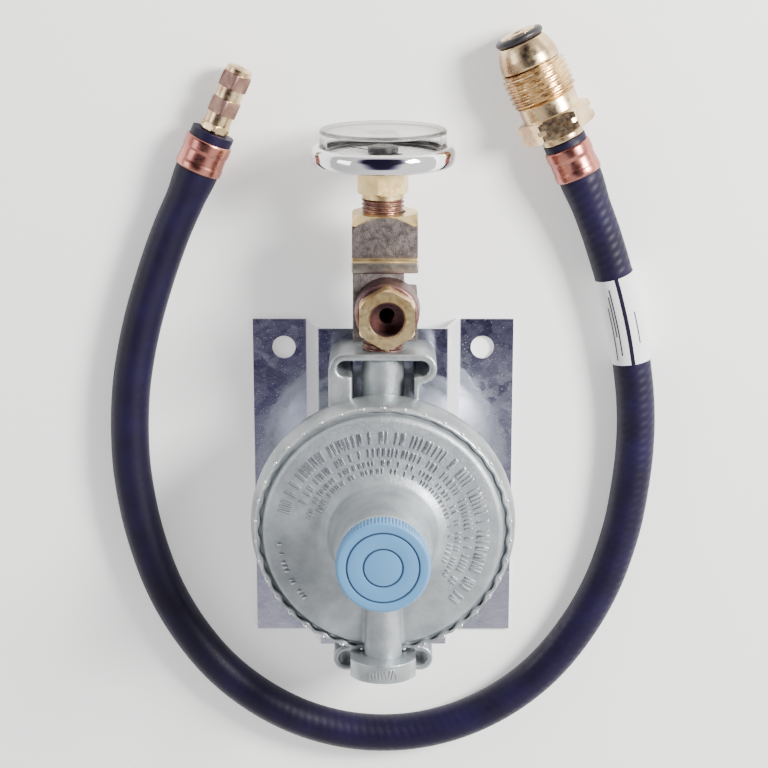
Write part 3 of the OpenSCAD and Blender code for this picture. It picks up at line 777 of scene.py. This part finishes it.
# Brass tee: upper block, raised band, stepped lower block
tee = {"middle": 0.6}
blocks = box(bmesh.new(), (-10.1, 38.8, 17.3), (11.3, 52.2, 38.7), 0.3)
box(blocks, (-9.9, 10.9, 17.5), (6.9, 34.5, 38.3), 0.5)
box(blocks, (-9.9, 10.9, 17.5), (11.3, 25.9, 38.3), 0.8)
cone = [(14.6, 48.6), (40, 48.6), (40, 60), (9.6, 60), (10.6, 52.3)]
cut = lathe(bmesh.new(), cone, 96, True)
blocks = carved(blocks, moved(cut, alongY(0, x=tee["middle"])))
addPiece("tee_blocks", blocks, Matrix(), "regulator", brassRough, ["tee_body"])
outline = [
    (6.9, 52.1), (10.7, 52.1), (14.2, 49.2), (14.35, 49.3), (10.8, 52.35), (6.9, 52.35),
]
machined = lathe(bmesh.new(), outline, 96, True)
moved(machined, alongY(0, x=tee["middle"]))
for low, high in (
    ((-20, 40, 0), (-10.1, 60, 60)), ((11.3, 40, 0), (20, 60, 60)),
    ((-30, 40, 38.7), (30, 60, 60)), ((-30, 40, 0), (30, 60, 17.3)),
):
    cut = box(bmesh.new(), low, high, 0)
    machined = carved(machined, cut)
addPiece("tee_end_face", machined, Matrix(), "regulator", brassPale)
band = box(bmesh.new(), (-10.25, 33.9, 17.3), (11.5, 37.5, 39.2), 0.5, 3)
addPiece("tee_band", band, Matrix(), "regulator", brassStep)
line = box(bmesh.new(), (-10.2, 37.2, 17.3), (11.4, 38.9, 39.1), 0.4, 3)
addPiece("tee_line", line, Matrix(), "regulator", brassPale)


def branchShape(r, a, z):
    if r < 8:
        return r, z
    limit = 9.95 - 0.9 * max(0, z - 53.9)
    return min(hexRadius(8.9, a, math.radians(30)), limit, r), z


outline = [
    (2.6, 37.5), (10.9, 37.5), (10.6, 40), (10.5, 44), (10.3, 46.8), (9.6, 47.4), (2.6, 47.4),
]
foot = lathe(bmesh.new(), soften(outline, 0.5, 3), 96, True)
cut = box(bmesh.new(), (-20, 12.1, 30), (20, 30, 60), 0)
foot = carved(foot, cut)
addPiece("branch_foot", foot, branchAxis, "regulator", brassDark)
outline = [
    (5.6, 47), (5.6, 53.8), (6.1, 54.5), (8.4, 54.5), (9.6, 54.5), (13, 53.9), (13, 52),
    (13, 50), (13, 48), (13, 47),
]
branch = lathe(bmesh.new(), outline, 96, True, branchShape)
addPiece("tee_branch", branch, branchAxis, "regulator", brassPale, sharp=26)
# The liner takes the dark brass: painted shade inside the bore
outline = [(2.4, 29), (2.4, 45.4), (4.2, 46.6), (5.35, 47.2), (5.35, 53.9), (5.7, 53.9), (5.7, 29)]
bore = lathe(bmesh.new(), outline, 72, True)
addPiece("branch_bore", bore, branchAxis, "regulator", brassDark)

# Pipe threads at the tee and under the gauge
pipe = {"radius": 7.0, "depth": 0.75, "pitch": 1.41, "rowsPerMm": 8}


def pipeShape(r, a, z):
    return (thread(pipe["radius"], pipe["depth"], pipe["pitch"], z, a) if r > 6 else r), z


pipes = bmesh.new()
for low, high in ((5.6, 11), (52, 57.2)):
    rows = int((high - low) * pipe["rowsPerMm"])
    outline = [(6.8, low + (high - low) * i / rows) for i in range(rows + 1)]
    lathe(pipes, [(3, low), *outline, (3, high)], 96, True, pipeShape)
moved(pipes, alongY(0))
# The threads take the darker brass: painted shade in the thread
addPiece("pipe_threads", pipes, Matrix(), "regulator", brassShaded, sharp=50)


def stemShape(r, a, z):
    if r < 7.4:
        return r, z
    limit = 7.9 + 1.5 * max(0, min(z - 58.5, 67.4 - z))
    return min(hexRadius(7.7, a, math.radians(19.6)), limit), z


outline = [(4, 57), (6.9, 57), (6.9, 58.5), (9, 58.6), (9, 59.1), (9, 59.8), (9, 62.6), (9, 65.6),
           (9, 66.6), (9, 67.3), (6, 67.45), (4, 67.45)]
bm = lathe(bmesh.new(), outline, 108, True, stemShape)
addPiece("gauge_hex", bm, alongY(0), "regulator", brassPale,
         ["gauge_stem"], 26)
print("tee")

# Gauge: pressed case, chrome bezel, dial, clear lens
outline = [
    (4.1, 0), (20.6, 0), (22.3, 0.9), (22.6, 4.2), (21.9, 4.2), (21.5, 1.4), (20.4, 0.8),
    (4.1, 0.8),
]
bm = lathe(bmesh.new(), soften(outline, 0.5, 3, True), 128, True)
addPiece("case_pressing", bm, gaugeAxis, "regulator", chrome, ["gauge_case"])
outline = [
    (20.85, 5.4), (20.9, 6.5), (22.1, 6.5), (23.1, 5.8), (23.6, 4.3), (23.6, 1.9), (23.2, 0.7),
    (22.6, 0.15), (21.7, 0.3), (22.7, 1.6), (22.7, 4.4), (22, 5.3),
]
bm = lathe(bmesh.new(), soften(outline, 0.5, 3, True), 160, True)
addPiece("bezel_ring", bm, gaugeAxis, "regulator", chrome, ["gauge_bezel"])
outline = [
    (0, 10.9), (19.4, 10.9), (19.4, 4.8), (20.75, 4.8), (20.75, 11.3), (20.3, 11.9), (19.5, 12),
    (0, 12),
]
bm = lathe(bmesh.new(), soften(outline, 0.25, 3), 160)
addPiece("lens_moulding", bm, gaugeAxis, "regulator", clear, ["gauge_lens"])
# A greyer, more opaque ring at the lens rim: painted shade along the lens edge
outline = [(19.6, 10.7), (20.8, 10.7), (20.8, 11.4), (20.35, 11.95), (19.6, 12.05)]
bm = lathe(bmesh.new(), soften(outline, 0.15, 2, True), 160, True)
addPiece("lens_edge", bm, gaugeAxis, "regulator", clearEdge)
dial = lathe(bmesh.new(), [(1.2, 3.2), (20.8, 3.2), (20.8, 3.7), (1.2, 3.7)], 128, True)
addPiece("dial_plate", dial, gaugeAxis, "regulator", face, ["gauge_dial"])
scale = {"ticks": 31, "step": 9, "start": -135, "outer": 17.6, "every": 5}
ticks = bmesh.new()
for k in range(scale["ticks"]):
    long, wide = (3.2, 0.5) if k % scale["every"] == 0 else (1.8, 0.3)
    angle = math.radians(scale["start"] - k * scale["step"])
    matrix = Matrix.Rotation(angle, 4, "Z") @ Matrix.Translation(
        (scale["outer"] - long / 2, 0, 3.72)
    ) @ Matrix.Diagonal((long, wide, 0.06, 1))
    bmesh.ops.create_cube(ticks, size=1, matrix=matrix)
addPiece("dial_ticks", ticks, gaugeAxis, "regulator", black)
outline = [(0.76, 4.1), (5, 4.1), (5, 6.1), (3.6, 6.6), (0.76, 6.6)]
needle = lathe(bmesh.new(), soften(outline, 0.3, 2, True), 64, True)
blade = box(bmesh.new(), (1.5, -0.55, 4.3), (15.5, 0.55, 4.6), 0.08)
box(blade, (-8, -1.1, 4.3), (-1.5, 1.1, 4.6), 0.08)
for v in blade.verts:
    if v.co.x > 2:
        v.co.y *= 1 - 0.85 * (v.co.x - 1.5) / 14
moved(blade, Matrix.Rotation(math.radians(135), 4, "Z"))
addPiece("needle", joined(needle, blade), gaugeAxis, "pointer", black,
         ["gauge_pointer"])
print("gauge")

# CAD parts that show as they are
finishes = {
    "bracket": sheetMetal, "bracket_screws": steel, "diaphragm": rubber, "vent_screen": steel,
    "spring_seat": steel, "adjusting_screw": white, "cap_seal": rubber, "main_spring": steel,
    "diaphragm_plate": steel, "diaphragm_post": brass, "relief_spring": steel,
    "relief_nut": brass, "lever": steel, "lever_pin": steel, "inlet_nozzle": brass,
    "valve_holder": brass, "seat_disc": rubber, "lens_gasket": rubber, "bourdon_coil": brass,
    "gauge_spindle": brass,
}
for name, finish in finishes.items():
    nodes[name].data.materials.clear()
    nodes[name].data.materials.append(finish)
edge = nodes["bracket"].modifiers.new("edge", "BEVEL")
edge.width = 0.0004
edge.segments = 3
edge.limit_method = "ANGLE"
edge.harden_normals = True

# Floor and lights
floor = bmesh.new()
bmesh.ops.create_grid(floor, x_segments=2, y_segments=2, size=2.5)
mesh = bpy.data.meshes.new("floor")
floor.to_mesh(mesh)
floor.free()
paperFloor = Finish("floor_paper")
mesh.materials.append(paperFloor.done(
    Base_Color=(0.9, 0.895, 0.88), Roughness=0.9, Emission_Color=(1, 0.995, 0.98),
    Emission_Strength=0.43,
))
floorPiece = bpy.data.objects.new("floor", mesh)
bpy.context.scene.collection.objects.link(floorPiece)

world = bpy.data.worlds.new("studio")
world.use_nodes = True
sky = Finish.__new__(Finish)
sky.tree = world.node_tree
# A dark patch overhead, which the shiny metal mirrors
spot = sky.place("Generated")
over = sky.part(spot, 2) * 0.954 + sky.part(spot, 1) * 0.3 - sky.part(spot, 0) * 0.03
background = sky.tree.nodes["Background"]
darkness = sky.span(over, 0.75, 0.87)
sky.put(background.inputs["Color"], sky.mix(darkness, (1, 0.985, 0.965), (0.3, 0.24, 0.6)))
side = sky.span(sky.part(spot, 0), -0.9, 0.4, 0.6, 1)
sky.put(background.inputs["Strength"], side * sky.span(darkness, 0, 1, 1.3, 0.07))
bpy.context.scene.world = world
for name, spot, size, power, colour in (
    ("key", (0.72, 0.36, 0.66), 0.3, 27, (1, 0.985, 0.96)),
    ("left", (-0.85, 0.15, 0.45), 0.4, 2, (0.95, 0.97, 1)),
):
    data = bpy.data.lights.new(name, "AREA")
    data.size = size
    data.energy = power
    data.color = colour
    light = bpy.data.objects.new(name, data)
    light.location = spot
    aim = Vector((0, -0.02, 0)) - Vector(spot)
    light.rotation_euler = aim.to_track_quat("-Z", "Y").to_euler()
    bpy.context.scene.collection.objects.link(light)
